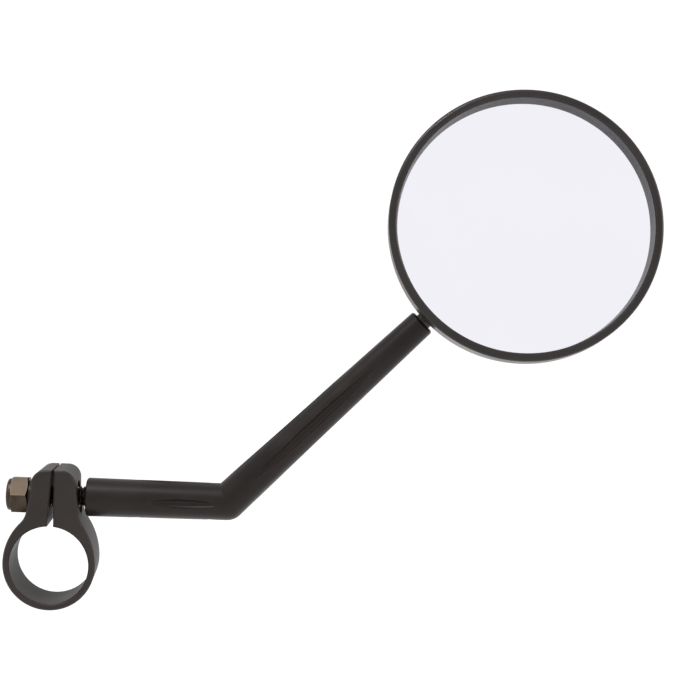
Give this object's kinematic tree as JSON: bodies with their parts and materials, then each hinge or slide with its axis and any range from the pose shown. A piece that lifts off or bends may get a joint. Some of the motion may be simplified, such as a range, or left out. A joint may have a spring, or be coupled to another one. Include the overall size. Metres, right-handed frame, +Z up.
{
  "type": "bicycle handlebar mirror",
  "caption": "Round convex mirror on a bent fluted arm, with a split ring clamp that grips a handlebar end and a ball joint that aims the head.",
  "frame": {"origin": "centre of the clamp's bore, halfway along it", "axes": "+Y along the bore, away from the side the mirror faces; +X along the stud, towards the arm; +Z up through the clamp's ears"},
  "size_m": [0.1797, 0.0295, 0.1497],
  "materials": {
    "clamp_plastic": "black glass-filled nylon, fine moulded grain",
    "arm_plastic": "black satin moulded nylon",
    "head_plastic": "black semi-gloss ABS",
    "stud_steel": "black-oxide steel, rolled thread",
    "nut_steel": "dark zinc-plated steel",
    "washer_steel": "black-oxide steel",
    "ball_steel": "black-oxide steel, polished",
    "spring_steel": "plain drawn spring wire",
    "bush_steel": "black-oxide steel, turned",
    "plug_brass": "turned brass",
    "nut_nylon": "natural nylon ring",
    "seat_acetal": "natural acetal",
    "pad_foam": "closed-cell foam with adhesive faces",
    "mirror_silver": "silvered convex glass"
  },
  "bodies": {
    "clamp": {"clamp_band": "clamp_plastic", "ear_insert": "bush_steel"},
    "arm": {"arm": "arm_plastic", "stud": "stud_steel", "ball_stud": "ball_steel"},
    "nut_washer": {"washer": "washer_steel"},
    "lock_nut": {"lock_nut": "nut_steel", "nut_insert": "nut_nylon"},
    "seat": {"ball_seat": "seat_acetal"},
    "cup": {"pressure_cup": "seat_acetal"},
    "mirror_head": {"rear_shell": "head_plastic", "front_bezel": "head_plastic", "mirror_glass": "mirror_silver", "backing_pad": "pad_foam", "thrust_pad": "seat_acetal", "socket_spring": "spring_steel", "tension_plug": "plug_brass"}
  },
  "joints": [
    {"name": "arm_swing", "type": "hinge", "parent": "clamp", "child": "arm", "pos_m": [0, 0, 0.01855], "axis": [1, 0, 0], "range_deg": [-180, 180]},
    {"name": "nut_travel", "type": "slide", "parent": "arm", "child": "nut_washer", "axis": [-1, 0, 0], "range_m": [0, 0.002]},
    {"name": "nut_spin", "type": "hinge", "parent": "nut_washer", "child": "lock_nut", "pos_m": [-0.00974, 0, 0.01855], "axis": [-1, 0, 0], "range_deg": [0, 738]},
    {"name": "mirror_turn", "type": "hinge", "parent": "arm", "child": "seat", "pos_m": [0.10676, 0, 0.07611], "axis": [0.7071, 0, 0.7071], "continuous": true},
    {"name": "mirror_tilt", "type": "hinge", "parent": "seat", "child": "cup", "pos_m": [0.10676, 0, 0.07611], "axis": [-0.6984, 0.1567, 0.6984], "range_deg": [-13, 13]},
    {"name": "mirror_nod", "type": "hinge", "parent": "cup", "child": "mirror_head", "pos_m": [0.10676, 0, 0.07611], "axis": [-0.1108, -0.9876, 0.1108], "range_deg": [-13, 13]}
  ],
  "couplings": [
    {"joint": "nut_spin", "follows": "nut_travel", "rad_per_m": 6283.2}
  ]
}
